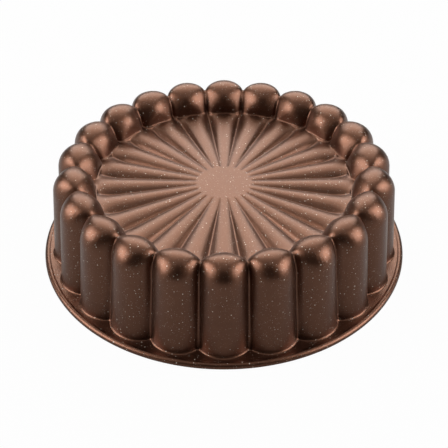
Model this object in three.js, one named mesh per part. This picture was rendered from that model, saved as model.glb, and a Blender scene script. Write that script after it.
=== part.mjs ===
// Fluted cake pan, standing upside down on its rim as it is stored and shown.
// A ring of round-topped lobes surrounds a sunken floor of half-round radial flutes.
// There are more flutes than lobes, so each flute meets the lobes at another place.
// The pan is one aluminium casting with a speckled coat outside and a non-stick coat inside.
// Millimetres, +Z up, rim plane at z = 0, pan axis on Z, one lobe and one flute centred on -Y.

import * as THREE from "three";

// Plan
const LOBES = 22;
const FLUTES = 24;
const RIM_RADIUS = 130;
const LOBE_CIRCLE = 102; // radius of the circle that the lobes' axes stand on
const LOBE_RADIUS = 17; // of a lobe's outer wall at its top
const FOOT_RADIUS = 21; // of the same wall at its foot, so that a cake slips out
const INNER_RADIUS = 90.3; // of the lobes' inner wall, from the pan axis
const DISC_RADIUS = 17.6; // flat disc in the middle of the floor

// Heights above the rim plane
const DISC_Z = 53.3;
const CREST_Z = 53.9; // top of the flutes, where they meet the lobes
const GROOVE_Z = 50.5; // bottom of the grooves there
const FLANGE_TOP = 3;

// Arch of a section through the pan axis: height and radius of its top, and the heights at which it
// springs from the inner and the outer wall
const MIDDLE_ARCH = { top: 72.1, topRadius: 105, innerSpring: 57.9, outerSpring: 56.5 };
const CREASE_ARCH = { top: 66.6, topRadius: 100.7, innerSpring: 35.4, outerSpring: 46.5 };
const ROUNDNESS = 0.97; // share of a half circle that the crown follows from crease to crease

// Walls
const WALL = 3; // casting
const COAT = 0.05; // each coat

// Rounded bead along the rim
const BEAD_WIDTH = 5;
const BEAD_HEIGHT = 4.2;

// Facets: columns per lobe, steps on half a flute, steps on each side of an arch
const OUTER_FACETS = { columns: 6, fluteSteps: 3, archSteps: 3 };
const INNER_FACETS = { columns: 4, fluteSteps: 2, archSteps: 2 };
const RIM_COLUMNS = 4; // per lobe
const BEAD_STEPS = 2;
const SAME_ANGLE = 1e-6;

const TURN = 2 * Math.PI;
const CREASE = TURN / LOBES / 2; // angle from a lobe's middle to the crease beside it

// Every surface is a row of rings round the pan axis, from the axis out to the rim plane. A ring
// goes through one point of each section. `grow` moves a surface outwards, and inwards where negative.

/** Place between the middle (0) and the border (1) of one of `count` equal parts of the circle. */
function shareOfHalf(angle, count) {
  const parts = (angle * count) / TURN;
  return Math.min(2 * Math.abs(parts - Math.round(parts)), 1);
}

/** Arch over a lobe, which falls along a round line from the lobe's middle to the crease. */
function archAt(angle, grow) {
  const drop = (share) => 1 - Math.sqrt(1 - (ROUNDNESS * share) ** 2);
  const fall = drop(shareOfHalf(angle, LOBES)) / drop(1);
  const between = (key) => THREE.MathUtils.lerp(MIDDLE_ARCH[key], CREASE_ARCH[key], fall);
  return {
    top: between("top") + grow,
    topRadius: between("topRadius"),
    innerSpring: between("innerSpring"),
    outerSpring: between("outerSpring"),
  };
}

/** Radius of the lobes' outer wall, in plan a circle of `radius` about each lobe's axis. */
function outerWall(angle, radius, grow) {
  const reach = (fromMiddle, lobe) => {
    const aside = LOBE_CIRCLE * Math.sin(fromMiddle);
    return LOBE_CIRCLE * Math.cos(fromMiddle) + Math.sqrt(Math.max(lobe ** 2 - aside ** 2, 0));
  };
  const channel = reach(CREASE, radius) + grow; // joins the lobes inside, behind the creases
  return Math.max(reach(CREASE * shareOfHalf(angle, LOBES), radius + grow), channel);
}

/** Point of the lobes' inner side at height z. */
function innerSide(arch, z, grow) {
  const rise = Math.max(z - arch.innerSpring, 0) / (arch.top - arch.innerSpring);
  const depth = arch.topRadius - (INNER_RADIUS - grow);
  return new THREE.Vector2(arch.topRadius - depth * Math.sqrt(Math.max(1 - rise ** 2, 0)), z);
}

/** Height of the floor where it meets the lobes: half-round flutes with a groove between them. */
function floorEdge(angle, grow) {
  const share = shareOfHalf(angle, FLUTES);
  return GROOVE_Z + (CREST_Z - GROOVE_Z) * Math.sqrt(1 - share ** 2) + grow;
}

function lobeAngles(columns) {
  return Array.from({ length: LOBES * columns }, (_, i) => (TURN * i) / (LOBES * columns));
}

/** Angles on every flute, close together at the grooves where the flutes are steep. */
function fluteAngles(steps) {
  const angles = [];
  for (let flute = 0; flute < FLUTES; flute++) {
    for (let i = 1 - steps; i <= steps; i++) {
      const share = Math.sin((Math.PI / 2) * (i / steps));
      angles.push((TURN * (flute + share / 2 + FLUTES)) / FLUTES % TURN);
    }
  }
  return merged(angles);
}

function merged(...lists) {
  const angles = lists.flat().sort((a, b) => a - b);
  return angles.filter((angle, i) => i === 0 || angle - angles[i - 1] > SAME_ANGLE);
}

/** Ring of points at the given angles, whose radius and height `section` gives. */
function ringOf(angles, section) {
  return angles.map((angle) => {
    const { x: radius, y: z } = section(angle);
    return { angle, place: new THREE.Vector3(radius * Math.sin(angle), -radius * Math.cos(angle), z) };
  });
}

/** Rings of the floor and of the lobes, over their tops down to the outer spring. */
function crownRings(grow, { columns, fluteSteps, archSteps }) {
  const lobes = lobeAngles(columns);
  const flutes = fluteAngles(fluteSteps);
  const rings = [
    ringOf([0], () => new THREE.Vector2(0, DISC_Z + grow)),
    ringOf(flutes, () => new THREE.Vector2(DISC_RADIUS, DISC_Z + grow)),
    ringOf(merged(lobes, flutes), (angle) =>
      innerSide(archAt(angle, grow), floorEdge(angle, grow), grow),
    ),
  ];
  for (let i = 1; i <= archSteps; i++) {
    const climb = Math.sin((Math.PI / 2) * (i / archSteps));
    const inner = (angle) => {
      const arch = archAt(angle, grow);
      return innerSide(arch, THREE.MathUtils.lerp(floorEdge(angle, grow), arch.top, climb), grow);
    };
    rings.push(ringOf(lobes, inner));
  }
  for (let i = 1; i <= archSteps; i++) {
    const turn = (Math.PI / 2) * (i / archSteps);
    const outer = (angle) => {
      const arch = archAt(angle, grow);
      const width = outerWall(angle, LOBE_RADIUS, grow) - arch.topRadius;
      const height = arch.top - arch.outerSpring;
      const radius = arch.topRadius + width * Math.sin(turn);
      return new THREE.Vector2(radius, arch.outerSpring + height * Math.cos(turn));
    };
    rings.push(ringOf(lobes, outer));
  }
  return rings;
}

/** Outside of the pan: crown, outer walls, flange, and the bead down to the rim plane. */
function outerSurface(grow) {
  const rings = crownRings(grow, OUTER_FACETS);
  const foot = (angle) => new THREE.Vector2(outerWall(angle, FOOT_RADIUS, grow), FLANGE_TOP + grow);
  rings.push(ringOf(lobeAngles(OUTER_FACETS.columns), foot));
  const beadMiddle = RIM_RADIUS - BEAD_WIDTH / 2;
  const beadReach = BEAD_WIDTH / 2 + grow;
  for (let i = 0; i <= BEAD_STEPS; i++) {
    const turn = (Math.PI * i) / BEAD_STEPS;
    const z = FLANGE_TOP + grow + (BEAD_HEIGHT - FLANGE_TOP) * Math.sin(turn);
    const radius = beadMiddle - beadReach * Math.cos(turn);
    rings.push(ringOf(lobeAngles(RIM_COLUMNS), () => new THREE.Vector2(radius, z)));
  }
  rings.push(ringOf(lobeAngles(RIM_COLUMNS), () => new THREE.Vector2(RIM_RADIUS + grow, 0)));
  return rings;
}

/** Cavity of the pan, one wall inside the outer surface, down to its mouth in the rim plane. */
function cavitySurface(grow) {
  const rings = crownRings(grow - WALL, INNER_FACETS);
  const mouth = (angle) => new THREE.Vector2(outerWall(angle, FOOT_RADIUS, grow - WALL), 0);
  rings.push(ringOf(lobeAngles(INNER_FACETS.columns), mouth));
  return rings;
}

/** Closed solid between an upper and a lower surface, whose last rings both lie in the rim plane. */
function shellBetween(upper, lower) {
  const positions = [];
  const indices = [];

  const addRing = (ring) =>
    ring.map(({ angle, place }) => {
      positions.push(place.x, place.y, place.z);
      return { angle, index: positions.length / 3 - 1 };
    });

  // Triangles between two rings, each step taken on the ring whose next point comes first.
  const addBand = (inner, outer, facesUp) => {
    const nextAngle = (ring, at) => {
      if (at === ring.length || ring.length === 1) return Infinity;
      return at + 1 < ring.length ? ring[at + 1].angle : TURN;
    };
    let i = 0;
    let o = 0;
    while (nextAngle(inner, i) < Infinity || nextAngle(outer, o) < Infinity) {
      const a = inner[i % inner.length].index;
      const b = outer[o % outer.length].index;
      const stepOuter = nextAngle(outer, o) <= nextAngle(inner, i);
      const c = (stepOuter ? outer[++o % outer.length] : inner[++i % inner.length]).index;
      indices.push(...(facesUp ? [a, b, c] : [a, c, b]));
    }
  };

  const upperRings = upper.map(addRing);
  const lowerRings = lower.map(addRing);
  for (let i = 1; i < upperRings.length; i++) addBand(upperRings[i - 1], upperRings[i], true);
  for (let i = 1; i < lowerRings.length; i++) addBand(lowerRings[i - 1], lowerRings[i], false);
  addBand(lowerRings.at(-1), upperRings.at(-1), false);

  const geometry = new THREE.BufferGeometry();
  geometry.setAttribute("position", new THREE.Float32BufferAttribute(positions, 3));
  geometry.setIndex(indices);
  geometry.computeVertexNormals();
  return geometry;
}

function namedMesh(name, geometry, look) {
  const mesh = new THREE.Mesh(geometry, new THREE.MeshStandardMaterial(look));
  mesh.name = name;
  return mesh;
}

const outerSkin = outerSurface(COAT);
const outerMetal = outerSurface(0);
const innerMetal = cavitySurface(0);
const innerSkin = cavitySurface(-COAT);

const pan = new THREE.Group();
pan.name = "fluted_cake_pan";
pan.add(
  namedMesh("cast_body", shellBetween(outerMetal, innerMetal), {
    color: 0xb4b4b2,
    roughness: 0.5,
    metalness: 1,
  }),
  namedMesh("outer_coating", shellBetween(outerSkin, outerMetal), {
    color: 0x5f4239,
    roughness: 0.38,
    metalness: 0.8,
  }),
  namedMesh("inner_coating", shellBetween(innerMetal, innerSkin), {
    color: 0x54403a,
    roughness: 0.45,
    metalness: 0.6,
  }),
);

export default pan;
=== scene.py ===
"""Looks of a fluted cake pan that stands upside down on its rim.

The pan is one casting under two thin coats. Each surface is lofted from ribs, which are sections
through the pan's axis. The ribs of a quarter of the pan are drawn and bridged, and the quarter is
mirrored twice.
Metres, +Z up, rim plane at z = 0, one lobe and one flute centred on -Y.
"""

import math

import bmesh
import bpy
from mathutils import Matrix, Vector


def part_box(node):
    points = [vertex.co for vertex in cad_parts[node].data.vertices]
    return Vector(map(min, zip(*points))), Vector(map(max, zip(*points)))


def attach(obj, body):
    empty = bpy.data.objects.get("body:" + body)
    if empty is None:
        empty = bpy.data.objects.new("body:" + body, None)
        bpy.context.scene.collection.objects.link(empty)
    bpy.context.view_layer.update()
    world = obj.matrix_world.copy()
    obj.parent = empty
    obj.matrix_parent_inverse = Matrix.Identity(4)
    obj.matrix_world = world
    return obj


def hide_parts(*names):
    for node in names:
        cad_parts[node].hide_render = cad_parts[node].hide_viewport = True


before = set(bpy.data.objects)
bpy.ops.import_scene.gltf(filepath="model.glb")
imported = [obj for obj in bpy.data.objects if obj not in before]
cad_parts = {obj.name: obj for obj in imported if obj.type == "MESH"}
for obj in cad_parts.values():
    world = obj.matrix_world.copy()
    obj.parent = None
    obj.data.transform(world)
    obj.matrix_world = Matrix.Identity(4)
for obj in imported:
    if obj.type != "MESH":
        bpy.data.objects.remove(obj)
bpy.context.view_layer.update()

# Walls
WALL = 0.003
COAT = 0.00005
CAVITY = -WALL - COAT  # from the metal's outside to the surface of the cavity

# Plan
RIM_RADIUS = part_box("outer_coating")[1].x
LOBES = 22
FLUTES = 24
CREASE = math.pi / LOBES  # angle from a lobe's middle to the crease beside it
LOBE_CIRCLE = 0.102  # on which the lobes' axes stand
LOBE_RADIUS = 0.017  # of a lobe's outer wall at its top
FOOT_RADIUS = 0.021  # of the same wall at its foot
POLE_RADIUS = 0.0005  # at which the ribs begin

# Heights of the bare metal above the rim plane
CROWN_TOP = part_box("cast_body")[1].z
DISC_Z = 0.0533
CREST_Z = 0.0535
FLANGE_TOP = 0.003

# Flat disc in the middle of the floor. The grooves start across a soft step at its edge, with a share
# of their depth.
DISC_RADIUS = 0.0192
DISC_STEP = 0.0014
STEP_SHARE = 0.11

# Grooves between the flutes: deepest at the radius from which they rise along an ellipse to the lobes
RUNOUT_RADIUS = 0.076
GROOVE_DEPTH = 0.0041

# Arch of a rib at a lobe's middle and at a crease: height and radius of its top, and the heights at
# which it springs from the inner and the outer wall
MIDDLE_ARCH = {
    "top": CROWN_TOP,
    "top_radius": 0.105,
    "inner_spring": 0.0579,
    "outer_spring": 0.0565,
}
CREASE_ARCH = {
    "top": 0.0666,
    "top_radius": 0.1030,
    "inner_spring": 0.0400,
    "outer_spring": 0.0465,
}

# Radius of the inner wall at both. Between the creases, it is flat at the floor and turns round up to
# a height above it.
INNER_RADIUS = 0.0903
INNER_CREASE_RADIUS = 0.0932
INNER_FLATNESS = 3
ROUND_Z = 0.0680

# Share of a half circle that lobes and flutes follow from one border to the next
LOBE_ROUNDNESS = 0.97
INNER_ROUNDNESS = 0.75
FLUTE_ROUNDNESS = 0.85

# Fillets of the casting. Those of creases and grooves are shares of half a lobe or flute.
CREASE_FILLET = 0.06
GROOVE_FILLET = 0.08
BORDER_STEEPNESS = math.radians(59)
FLOOR_FILLET = 0.0009
FOOT_FILLET = 0.0016
CAVITY_FILLET = 0.0025

# Rim bead, a round bar along the edge of the flange
BEAD_RADIUS = 0.0025
BEAD_Z = 0.0010
BEAD_FILLET = 0.0008

# Ribs in half a lobe and half a flute, and points along a rib
LOBE_RIBS = 8
FLUTE_RIBS = 6
FILLET_RIBS = 3
RIB_GAP = math.radians(0.08)
SECTOR_RIBS = 16
FLOOR_CUTS = 3
RUNOUT_STEPS = 8
ARCH_STEPS = 10
CAVITY_ARCH_STEPS = 6
FILLET_STEPS = 4
WALL_CUTS = 2
BEAD_FILLET_STEPS = 3
BEAD_STEPS = 8
SMOOTH_ANGLE = math.radians(40)
MERGE_DISTANCE = 0.00001

# Coats: flecks and clouds are in cells per metre, a fleck's reach is a share of its cell
BOLD_REACH = 0.19
FAINT_REACH = 0.28
FAINT_DENSITY = 2.2
FAINT_STRENGTH = 0.33
FLECK_CORE = 0.6
FLECK_COLOUR = (0.6, 0.51, 0.42, 1)
GRAIN_SCALE = 1200
GRAIN_DETAIL = 3
GRAIN_STRENGTH = 0.7
GRAIN_DEPTH = 0.0002
CLOUD_SCALE = 120
CLOUD_DETAIL = 4
CLOUD_CONTRAST = 0.15
ROUGHNESS_SPREAD = 0.04
CLEAR_ROUGHNESS = 0.32

# Bare casting
METAL_COLOUR = (0.6, 0.6, 0.59, 1)
METAL_GRAIN_SCALE = 900
METAL_GRAIN_DETAIL = 2
METAL_ROUGHNESS = (0.4, 0.6)

# Floor, just below the rim, and the share of plain white that the camera and reflections see of it
FLOOR_SIZE = 40
FLOOR_Z = -0.0002
FLOOR_COLOUR = (0.38, 0.38, 0.38, 1)
FLOOR_ROUGHNESS = 0.9
SEEN_WHITE = 0.97
MIRRORED_WHITE = 0.1

# Light from all round, beside the softboxes
WORLD_COLOUR = (0.018, 0.018, 0.018, 1)

# Camera, fitted to the rim, the creases and the lobes of the photograph
CAMERA_TARGET = Vector((0, 0, 0.026))
CAMERA_ELEVATION = math.radians(37.687)
CAMERA_DISTANCE = 0.75907
CAMERA_LENS = 84.71
CAMERA_SENSOR = 36
CAMERA_SHIFT_Y = -0.025
CAMERA_CLIP_END = 100

# Places of a mix node's sockets for colours
MIX_SHARE = 0
MIX_FIRST = 6
MIX_SECOND = 7
MIX_RESULT = 2


def select_only(piece):
    bpy.ops.object.select_all(action="DESELECT")
    piece.select_set(True)
    bpy.context.view_layer.objects.active = piece


def select_where(test):
    """Selects the vertices of the mesh in edit mode whose place passes the test."""
    mesh = bpy.context.edit_object.data
    shape = bmesh.from_edit_mesh(mesh)
    for vertex in shape.verts:
        vertex.select_set(test(vertex.co))
    shape.select_flush_mode()
    bmesh.update_edit_mesh(mesh)


def lerp(start, end, share):
    return start + (end - start) * share


class Rib:
    """A section through the pan's axis at an angle from -Y, drawn from the axis outwards."""

    def __init__(self, angle, radius, z):
        self.outwards = Vector((math.sin(angle), -math.cos(angle), 0))
        self.spin_axis = self.outwards.cross(Vector((0, 0, 1)))
        self.radius = radius
        self.z = z
        bpy.ops.mesh.select_all(action="DESELECT")
        bpy.ops.mesh.primitive_plane_add(size=POLE_RADIUS, location=self.place(radius, z))
        bpy.ops.mesh.merge(type="CENTER")

    def place(self, radius, z):
        return self.outwards * radius + Vector((0, 0, z))

    def line(self, radius, z, cuts=0):
        """Draws straight to (radius, z), with `cuts` even points on the way."""
        stretches = cuts + 1
        step = self.place((radius - self.radius) / stretches, (z - self.z) / stretches)
        for _ in range(stretches):
            bpy.ops.mesh.extrude_region_move(TRANSFORM_OT_translate={"value": step})
        self.radius = radius
        self.z = z

    def arc(self, radius, z, turn, steps):
        """Draws an arc about (radius, z). A positive turn leads from upwards to outwards."""
        centre = self.place(radius, z)
        bpy.ops.mesh.spin(
            steps=steps, angle=turn, center=centre, axis=self.spin_axis, use_auto_merge=False
        )
        reach = math.hypot(self.radius - radius, self.z - z)
        heading = math.atan2(self.z - z, self.radius - radius) - turn
        self.radius = radius + reach * math.cos(heading)
        self.z = z + reach * math.sin(heading)


def share_of_half(angle, count):
    """Place between the middle (0) and the border (1) of one of `count` equal parts of the circle."""
    parts = angle * count / (2 * math.pi)
    return min(2 * abs(parts - round(parts)), 1)


def rounded_share(share, fillet):
    """The same share, held back close to the border so that a fillet rounds the border off."""

    def held(from_border):
        if from_border > fillet:
            return from_border
        radius = fillet / math.sin(BORDER_STEEPNESS)
        rise = radius / math.cos(BORDER_STEEPNESS) - math.sqrt(radius**2 - from_border**2)
        return rise / math.tan(BORDER_STEEPNESS)

    return (1 - held(1 - share)) / (1 - held(0))


def fall(share, roundness):
    """Drop of a round line from the middle (0) to the border (1) of a lobe or flute."""
    return (1 - math.sqrt(1 - (roundness * share) ** 2)) / (1 - math.sqrt(1 - roundness**2))


def lobe_share(angle):
    return rounded_share(share_of_half(angle, LOBES), CREASE_FILLET)


def arch_at(angle, grow):
    """Arch of the rib at an angle. `grow` moves a surface outwards from the metal's outside."""
    drop = fall(lobe_share(angle), LOBE_ROUNDNESS)
    inner_drop = fall(lobe_share(angle), INNER_ROUNDNESS)
    arch = {}
    for key, middle in MIDDLE_ARCH.items():
        arch[key] = lerp(middle, CREASE_ARCH[key], inner_drop if key == "inner_spring" else drop)
    arch["top"] += grow
    arch["wall"] = lerp(INNER_RADIUS, INNER_CREASE_RADIUS, drop**INNER_FLATNESS) - grow
    arch["round_wall"] = lerp(INNER_RADIUS, INNER_CREASE_RADIUS, inner_drop) - grow
    return arch


def outer_wall(angle, radius, grow):
    """Radius of the lobes' outer wall, in plan a circle about each lobe's axis."""

    def reach(from_middle, lobe):
        aside = LOBE_CIRCLE * math.sin(from_middle)
        return LOBE_CIRCLE * math.cos(from_middle) + math.sqrt(max(lobe**2 - aside**2, 0))

    channel = reach(CREASE, radius) + grow
    return max(reach(CREASE * lobe_share(angle), radius + grow), channel)


def inner_side(arch, z):
    """Radius of the lobes' inner side at height z."""
    rise = max(z - arch["inner_spring"], 0) / (arch["top"] - arch["inner_spring"])
    climb = min(max((z - CREST_Z) / (ROUND_Z - CREST_Z), 0), 1)
    roundness = (1 - math.cos(math.pi * climb)) / 2
    depth = arch["top_radius"] - lerp(arch["wall"], arch["round_wall"], roundness)
    return arch["top_radius"] - depth * math.sqrt(max(1 - rise**2, 0))


def draw_crown(angle, grow, fillet, arch_steps):
    """Rib over the disc, the floor and a lobe, down to where the outer wall begins."""
    arch = arch_at(angle, grow)
    disc_z = DISC_Z + grow
    rib = Rib(angle, POLE_RADIUS, disc_z)
    rib.line(DISC_RADIUS - DISC_STEP, disc_z)
    rib.line(DISC_RADIUS, disc_z)

    # Flute or groove, its run-out, and the fillet between floor and lobe
    flute = fall(rounded_share(share_of_half(angle, FLUTES), GROOVE_FILLET), FLUTE_ROUNDNESS)
    depth = GROOVE_DEPTH * flute
    edge_z = CREST_Z + grow
    edge_radius = inner_side(arch, edge_z)
    climb = math.atan2(fillet, inner_side(arch, edge_z + fillet) - edge_radius)
    end_radius = edge_radius - fillet * math.tan(climb / 2)
    rib.line(DISC_RADIUS + DISC_STEP, disc_z - depth * STEP_SHARE)
    rib.line(RUNOUT_RADIUS, edge_z - depth, FLOOR_CUTS)
    for i in range(1, RUNOUT_STEPS):
        turn = math.pi / 2 * i / RUNOUT_STEPS
        radius = lerp(RUNOUT_RADIUS, end_radius, math.sin(turn))
        rib.line(radius, edge_z - depth * math.cos(turn))
    rib.line(end_radius, edge_z)
    rib.arc(end_radius, edge_z + fillet, -climb, FILLET_STEPS)

    # Lobe, up its inner side and down to the outer wall
    start_z = rib.z
    for i in range(1, arch_steps + 1):
        z = lerp(start_z, arch["top"], math.sin(math.pi / 2 * i / arch_steps))
        rib.line(inner_side(arch, z), z)
    width = outer_wall(angle, LOBE_RADIUS, grow) - arch["top_radius"]
    height = arch["top"] - arch["outer_spring"]
    for i in range(1, arch_steps + 1):
        turn = math.pi / 2 * i / arch_steps
        rib.line(
            arch["top_radius"] + width * math.sin(turn),
            arch["outer_spring"] + height * math.cos(turn),
        )
    return rib


def draw_outer_rib(angle):
    """Crown, outer wall, flange, bead, and the foot of the rim in to the mouth."""
    rib = draw_crown(angle, COAT, FLOOR_FILLET, ARCH_STEPS)

    # Wall, and the fillet at its foot
    flange_z = FLANGE_TOP + COAT
    foot = outer_wall(angle, FOOT_RADIUS, COAT)
    lean = math.atan2(foot - rib.radius, rib.z - flange_z)
    fillet_radius = foot - FOOT_FILLET * math.tan(lean) + FOOT_FILLET / math.cos(lean)
    fillet_z = flange_z + FOOT_FILLET
    wall_end = fillet_radius - FOOT_FILLET * math.cos(lean)
    rib.line(wall_end, fillet_z - FOOT_FILLET * math.sin(lean), WALL_CUTS)
    rib.arc(fillet_radius, fillet_z, lean - math.pi / 2, FILLET_STEPS)

    # Flange and bead
    bead = RIM_RADIUS - BEAD_RADIUS
    climb_z = flange_z + BEAD_FILLET
    reach = BEAD_RADIUS + BEAD_FILLET
    climb_radius = bead - math.sqrt(reach**2 - (climb_z - BEAD_Z) ** 2)
    rib.line(climb_radius, flange_z)
    to_bead = math.atan2(BEAD_Z - climb_z, bead - climb_radius)
    rib.arc(climb_radius, climb_z, -(to_bead + math.pi / 2), BEAD_FILLET_STEPS)
    under = math.asin(BEAD_Z / BEAD_RADIUS)
    rib.arc(bead, BEAD_Z, math.pi + to_bead + under, BEAD_STEPS)
    rib.line(outer_wall(angle, FOOT_RADIUS, CAVITY), 0)


def draw_cavity_rib(angle):
    """Underside of the floor, the channel under the lobes and the wall down to the mouth."""
    rib = draw_crown(angle, CAVITY, CAVITY_FILLET, CAVITY_ARCH_STEPS)
    rib.line(outer_wall(angle, FOOT_RADIUS, CAVITY), 0, WALL_CUTS)


def border_shares(ribs, roundness, fillet):
    """Places of ribs between the middle and the border of a lobe or flute, closest at the border."""
    last = math.asin(roundness * (1 - fillet))
    shares = [math.sin(last * i / ribs) / roundness for i in range(1, ribs + 1)]
    return shares + [1 - fillet * i / FILLET_RIBS for i in range(1, FILLET_RIBS)]


def rib_angles():
    """Angles of the ribs of a quarter of the pan."""
    angles = []

    def add(angle):
        if all(abs(angle - other) > RIB_GAP for other in angles):
            angles.append(angle)

    # Middles and borders of lobes and flutes come first, since they hold the shape
    for count in (LOBES, FLUTES):
        for i in range(count // 2 + 1):
            add(math.pi / count * i)
    rows = (
        (LOBES, border_shares(LOBE_RIBS, LOBE_ROUNDNESS, CREASE_FILLET)),
        (FLUTES, border_shares(FLUTE_RIBS, FLUTE_ROUNDNESS, GROOVE_FILLET)),
    )
    for count, shares in rows:
        half = math.pi / count
        for i in range(count // 2):
            for share in shares:
                add(half * (i + share if i % 2 == 0 else i + 1 - share))
    return sorted(angles)


def loft_sector(angles, draw_rib):
    """Surface through a row of ribs."""
    bpy.ops.object.select_all(action="DESELECT")
    bpy.ops.mesh.primitive_plane_add(size=POLE_RADIUS)
    bpy.ops.object.mode_set(mode="EDIT")
    bpy.ops.mesh.delete(type="VERT")
    for angle in angles:
        draw_rib(angle)
    bpy.ops.mesh.select_all(action="SELECT")
    bpy.ops.mesh.bridge_edge_loops()
    bpy.ops.object.mode_set(mode="OBJECT")
    return bpy.context.object


def loft_pan(name, draw_rib, faces_down):
    """A surface all round the pan, open at its mouth, from the ribs of a quarter."""
    angles = rib_angles()
    sectors = []
    for first in range(0, len(angles) - 1, SECTOR_RIBS):
        sectors.append(loft_sector(angles[first : first + SECTOR_RIBS + 1], draw_rib))
    for sector in sectors:
        sector.select_set(True)
    surface = sectors[0]
    surface.name = name
    bpy.context.view_layer.objects.active = surface
    bpy.ops.object.join()

    # Mirror the quarter twice, close the pole and turn the faces to the air
    bpy.ops.object.mode_set(mode="EDIT")
    for mirror in ((-1, 1, 1), (1, -1, 1)):
        bpy.ops.mesh.select_all(action="SELECT")
        bpy.ops.mesh.duplicate()
        bpy.ops.transform.resize(value=mirror, center_override=(0, 0, 0))
    bpy.ops.mesh.select_all(action="SELECT")
    bpy.ops.mesh.remove_doubles(threshold=MERGE_DISTANCE)
    select_where(lambda place: math.hypot(place.x, place.y) < POLE_RADIUS + MERGE_DISTANCE)
    bpy.ops.mesh.merge(type="CENTER")
    bpy.ops.mesh.select_all(action="SELECT")
    bpy.ops.mesh.normals_make_consistent(inside=faces_down)
    bpy.ops.object.mode_set(mode="OBJECT")
    return surface


def copy_of(piece, name):
    select_only(piece)
    bpy.ops.object.duplicate()
    bpy.context.object.name = name
    return bpy.context.object


def make_casting(outer, cavity):
    """Closed casting between the two coats."""
    casting = copy_of(outer, "pan_casting")
    inside = copy_of(cavity, "cavity_copy")
    select_only(casting)
    inside.select_set(True)
    bpy.ops.object.join()
    bpy.ops.object.mode_set(mode="EDIT")
    bpy.ops.mesh.select_all(action="SELECT")
    bpy.ops.transform.shrink_fatten(value=-COAT)
    bpy.ops.mesh.select_all(action="DESELECT")
    bpy.ops.mesh.select_non_manifold()
    bpy.ops.mesh.bridge_edge_loops()
    bpy.ops.mesh.select_all(action="SELECT")
    bpy.ops.mesh.normals_make_consistent(inside=False)
    bpy.ops.object.mode_set(mode="OBJECT")
    return casting


def thicken_coat(surface):
    """Gives a surface the thickness of a coat, towards the metal."""
    select_only(surface)
    bpy.ops.object.modifier_add(type="SOLIDIFY")
    solidify = surface.modifiers[-1]
    solidify.thickness = COAT
    solidify.offset = -1
    bpy.ops.object.modifier_apply(modifier=solidify.name)


def new_material(name):
    material = bpy.data.materials.new(name)
    material.use_nodes = True
    return material


def set_input(tree, socket, value):
    """Links an input to another node's output, or sets it to a plain value."""
    if isinstance(value, bpy.types.NodeSocket):
        tree.links.new(value, socket)
    else:
        socket.default_value = value


def add_math(tree, operation, *values):
    node = tree.nodes.new("ShaderNodeMath")
    node.operation = operation
    for socket, value in zip(node.inputs, values):
        set_input(tree, socket, value)
    return node.outputs["Value"]


def add_range(tree, value, low, high, start=0, end=1):
    """Turns a value that runs from `start` to `end` into one that runs from `low` to `high`."""
    node = tree.nodes.new("ShaderNodeMapRange")
    settings = {
        "Value": value,
        "From Min": start,
        "From Max": end,
        "To Min": low,
        "To Max": high,
    }
    for name, setting in settings.items():
        set_input(tree, node.inputs[name], setting)
    return node.outputs["Result"]


def add_mix(tree, share, first, second):
    """Colour between a first and a second one."""
    node = tree.nodes.new("ShaderNodeMix")
    node.data_type = "RGBA"
    set_input(tree, node.inputs[MIX_SHARE], share)
    set_input(tree, node.inputs[MIX_FIRST], first)
    set_input(tree, node.inputs[MIX_SECOND], second)
    return node.outputs[MIX_RESULT]


def add_noise(tree, scale, detail):
    """Soft noise that stays with the object."""
    coordinates = tree.nodes.new("ShaderNodeTexCoord")
    noise = tree.nodes.new("ShaderNodeTexNoise")
    noise.inputs["Scale"].default_value = scale
    noise.inputs["Detail"].default_value = detail
    tree.links.new(coordinates.outputs["Object"], noise.inputs["Vector"])
    return noise.outputs["Fac"]


def add_spots(tree, density, reach):
    """Round spots, one in each cell, of varied size up to `reach` of the cell."""
    coordinates = tree.nodes.new("ShaderNodeTexCoord")
    cells = tree.nodes.new("ShaderNodeTexVoronoi")
    tree.links.new(coordinates.outputs["Object"], cells.inputs["Vector"])
    tree.links.new(density, cells.inputs["Scale"])
    chance = tree.nodes.new("ShaderNodeSeparateColor")
    tree.links.new(cells.outputs["Color"], chance.inputs["Color"])
    size = add_math(tree, "MULTIPLY", chance.outputs["Red"], reach)
    core = add_math(tree, "MULTIPLY", size, FLECK_CORE)
    return add_range(tree, cells.outputs["Distance"], 1, 0, start=core, end=size)


def make_fleck_group():
    """Pale flecks of two sizes and a fine grain, spread through the coat."""
    group = bpy.data.node_groups.new("coat_flecks", "ShaderNodeTree")
    group.interface.new_socket("Density", in_out="INPUT", socket_type="NodeSocketFloat")
    group.interface.new_socket("Flecks", in_out="OUTPUT", socket_type="NodeSocketFloat")
    group.interface.new_socket("Grain", in_out="OUTPUT", socket_type="NodeSocketFloat")
    density = group.nodes.new("NodeGroupInput").outputs["Density"]
    outputs = group.nodes.new("NodeGroupOutput")

    bold = add_spots(group, density, BOLD_REACH)
    finer = add_math(group, "MULTIPLY", density, FAINT_DENSITY)
    faint = add_math(group, "MULTIPLY", add_spots(group, finer, FAINT_REACH), FAINT_STRENGTH)
    both = add_math(group, "MAXIMUM", bold, faint)
    group.links.new(both, outputs.inputs["Flecks"])
    group.links.new(add_noise(group, GRAIN_SCALE, GRAIN_DETAIL), outputs.inputs["Grain"])
    return group


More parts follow.
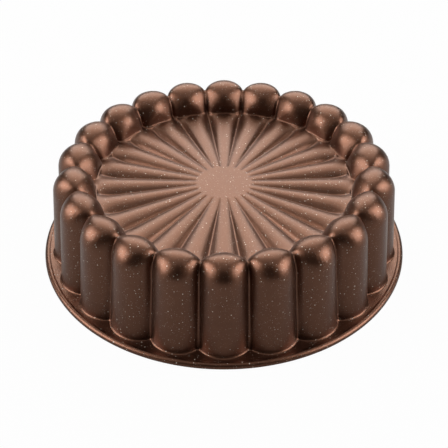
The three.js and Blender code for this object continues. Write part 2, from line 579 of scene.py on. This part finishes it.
def make_coat_material(name, flecks, bronze, density, roughness, clear_weight):
    """Metallic bronze enamel with pale flecks under a thin clear layer."""
    material = new_material(name)
    tree = material.node_tree
    shader = tree.nodes["Principled BSDF"]
    shader.inputs["Coat Weight"].default_value = clear_weight
    shader.inputs["Coat Roughness"].default_value = CLEAR_ROUGHNESS
    speckle = tree.nodes.new("ShaderNodeGroup")
    speckle.node_tree = flecks
    speckle.inputs["Density"].default_value = density
    spots = speckle.outputs["Flecks"]

    # Cloudy bronze, with flecks that aren't metal
    clouds = add_noise(tree, CLOUD_SCALE, CLOUD_DETAIL)
    dark = [(1 - CLOUD_CONTRAST) * channel for channel in bronze]
    light = [(1 + CLOUD_CONTRAST) * channel for channel in bronze]
    shade = add_mix(tree, clouds, (*dark, 1), (*light, 1))
    tree.links.new(add_mix(tree, spots, shade, FLECK_COLOUR), shader.inputs["Base Color"])
    tree.links.new(add_range(tree, spots, 1, 0), shader.inputs["Metallic"])

    # Uneven gloss and a fine grain
    rough = add_range(tree, clouds, roughness - ROUGHNESS_SPREAD, roughness + ROUGHNESS_SPREAD)
    tree.links.new(rough, shader.inputs["Roughness"])
    bump = tree.nodes.new("ShaderNodeBump")
    bump.inputs["Strength"].default_value = GRAIN_STRENGTH
    bump.inputs["Distance"].default_value = GRAIN_DEPTH
    tree.links.new(speckle.outputs["Grain"], bump.inputs["Height"])
    tree.links.new(bump.outputs["Normal"], shader.inputs["Normal"])
    return material


def make_cast_metal():
    """Bare aluminium with the fine grain of a casting."""
    material = new_material("cast_aluminium")
    tree = material.node_tree
    shader = tree.nodes["Principled BSDF"]
    shader.inputs["Base Color"].default_value = METAL_COLOUR
    shader.inputs["Metallic"].default_value = 1
    grain = add_noise(tree, METAL_GRAIN_SCALE, METAL_GRAIN_DETAIL)
    tree.links.new(add_range(tree, grain, *METAL_ROUGHNESS), shader.inputs["Roughness"])
    return material


def dress(piece, material, node):
    """Smooths a piece, gives it its material and puts it in the place of a CAD node."""
    select_only(piece)
    bpy.ops.object.shade_smooth_by_angle(angle=SMOOTH_ANGLE)
    piece.data.materials.clear()
    piece.data.materials.append(material)
    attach(piece, "root")
    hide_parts(node)


def build_pan():
    outer = loft_pan("outer_coat", draw_outer_rib, faces_down=False)
    cavity = loft_pan("inner_coat", draw_cavity_rib, faces_down=True)
    casting = make_casting(outer, cavity)
    thicken_coat(outer)
    thicken_coat(cavity)
    flecks = make_fleck_group()
    outside = make_coat_material(
        "bronze_speckle",
        flecks,
        bronze=(0.126, 0.0515, 0.0275),
        density=430,
        roughness=0.37,
        clear_weight=0.38,
    )
    inside = make_coat_material(
        "inner_nonstick",
        flecks,
        bronze=(0.18, 0.09, 0.065),
        density=213,
        roughness=0.4,
        clear_weight=0.3,
    )
    dress(outer, outside, "outer_coating")
    dress(cavity, inside, "inner_coating")
    dress(casting, make_cast_metal(), "cast_body")


def make_floor():
    """White studio floor that still takes the pan's shadow."""
    bpy.ops.object.select_all(action="DESELECT")
    bpy.ops.mesh.primitive_plane_add(size=FLOOR_SIZE, location=(0, 0, FLOOR_Z))
    floor = bpy.context.object
    floor.name = "floor"
    material = new_material("studio_white")
    tree = material.node_tree
    surface = tree.nodes["Principled BSDF"]
    surface.inputs["Base Color"].default_value = FLOOR_COLOUR
    surface.inputs["Roughness"].default_value = FLOOR_ROUGHNESS
    white = tree.nodes.new("ShaderNodeEmission")

    # Plain white for the camera, and a share of it in reflections
    path = tree.nodes.new("ShaderNodeLightPath").outputs
    mirrored = add_math(tree, "MAXIMUM", path["Is Glossy Ray"], path["Is Transmission Ray"])
    mirrored = add_math(tree, "MULTIPLY", mirrored, MIRRORED_WHITE)
    share = add_math(tree, "MULTIPLY_ADD", path["Is Camera Ray"], SEEN_WHITE, mirrored)
    mix = tree.nodes.new("ShaderNodeMixShader")
    tree.links.new(share, mix.inputs["Fac"])
    tree.links.new(surface.outputs["BSDF"], mix.inputs[1])
    tree.links.new(white.outputs["Emission"], mix.inputs[2])
    tree.links.new(mix.outputs["Shader"], tree.nodes["Material Output"].inputs["Surface"])
    floor.data.materials.append(material)


def direction(azimuth, elevation):
    """Direction from the pan. Azimuth 0 is the camera's side, a quarter turn the right-hand side."""
    level = math.cos(elevation)
    return Vector((math.sin(azimuth) * level, -math.cos(azimuth) * level, math.sin(elevation)))


def add_softbox(name, azimuth, elevation, distance, width, height, radiance, colour=(1, 1, 1)):
    """Rectangular lamp that faces the pan. Angles are in degrees."""
    towards = direction(math.radians(azimuth), math.radians(elevation))
    bpy.ops.object.light_add(type="AREA", location=CAMERA_TARGET + towards * distance)
    lamp = bpy.context.object
    lamp.name = name
    lamp.rotation_euler = towards.to_track_quat("Z", "Y").to_euler()
    lamp.data.shape = "RECTANGLE"
    lamp.data.size = width
    lamp.data.size_y = height
    lamp.data.energy = radiance * math.pi * width * height
    lamp.data.color = colour


def light_studio():
    add_softbox(
        "back_softbox",
        azimuth=180,
        elevation=36,
        distance=1.3,
        width=1.55,
        height=0.8,
        radiance=3.7,
        colour=(0.97, 1, 0.98),
    )
    add_softbox(
        "back_top_softbox",
        azimuth=180,
        elevation=66,
        distance=1.3,
        width=1.55,
        height=0.6,
        radiance=1.8,
        colour=(0.98, 1, 0.97),
    )
    add_softbox(
        "top_softbox",
        azimuth=0,
        elevation=82,
        distance=1.3,
        width=1.2,
        height=1.0,
        radiance=0.6,
    )
    add_softbox(
        "left_softbox",
        azimuth=-80,
        elevation=28,
        distance=1.2,
        width=1.0,
        height=0.85,
        radiance=5.9,
    )
    add_softbox(
        "right_softbox",
        azimuth=78,
        elevation=27,
        distance=1.2,
        width=0.95,
        height=0.85,
        radiance=5.7,
    )
    world = bpy.data.worlds.new("studio")
    world.use_nodes = True
    world.node_tree.nodes["Background"].inputs["Color"].default_value = WORLD_COLOUR
    bpy.context.scene.world = world


def place_camera():
    bpy.ops.object.camera_add(
        location=CAMERA_TARGET + direction(0, CAMERA_ELEVATION) * CAMERA_DISTANCE,
        rotation=(math.pi / 2 - CAMERA_ELEVATION, 0, 0),
    )
    camera = bpy.context.object
    camera.data.lens = CAMERA_LENS
    camera.data.sensor_width = CAMERA_SENSOR
    camera.data.shift_y = CAMERA_SHIFT_Y
    camera.data.clip_end = CAMERA_CLIP_END
    bpy.context.scene.camera = camera


build_pan()
make_floor()
light_studio()
place_camera()
bpy.context.scene.view_settings.view_transform = "Standard"
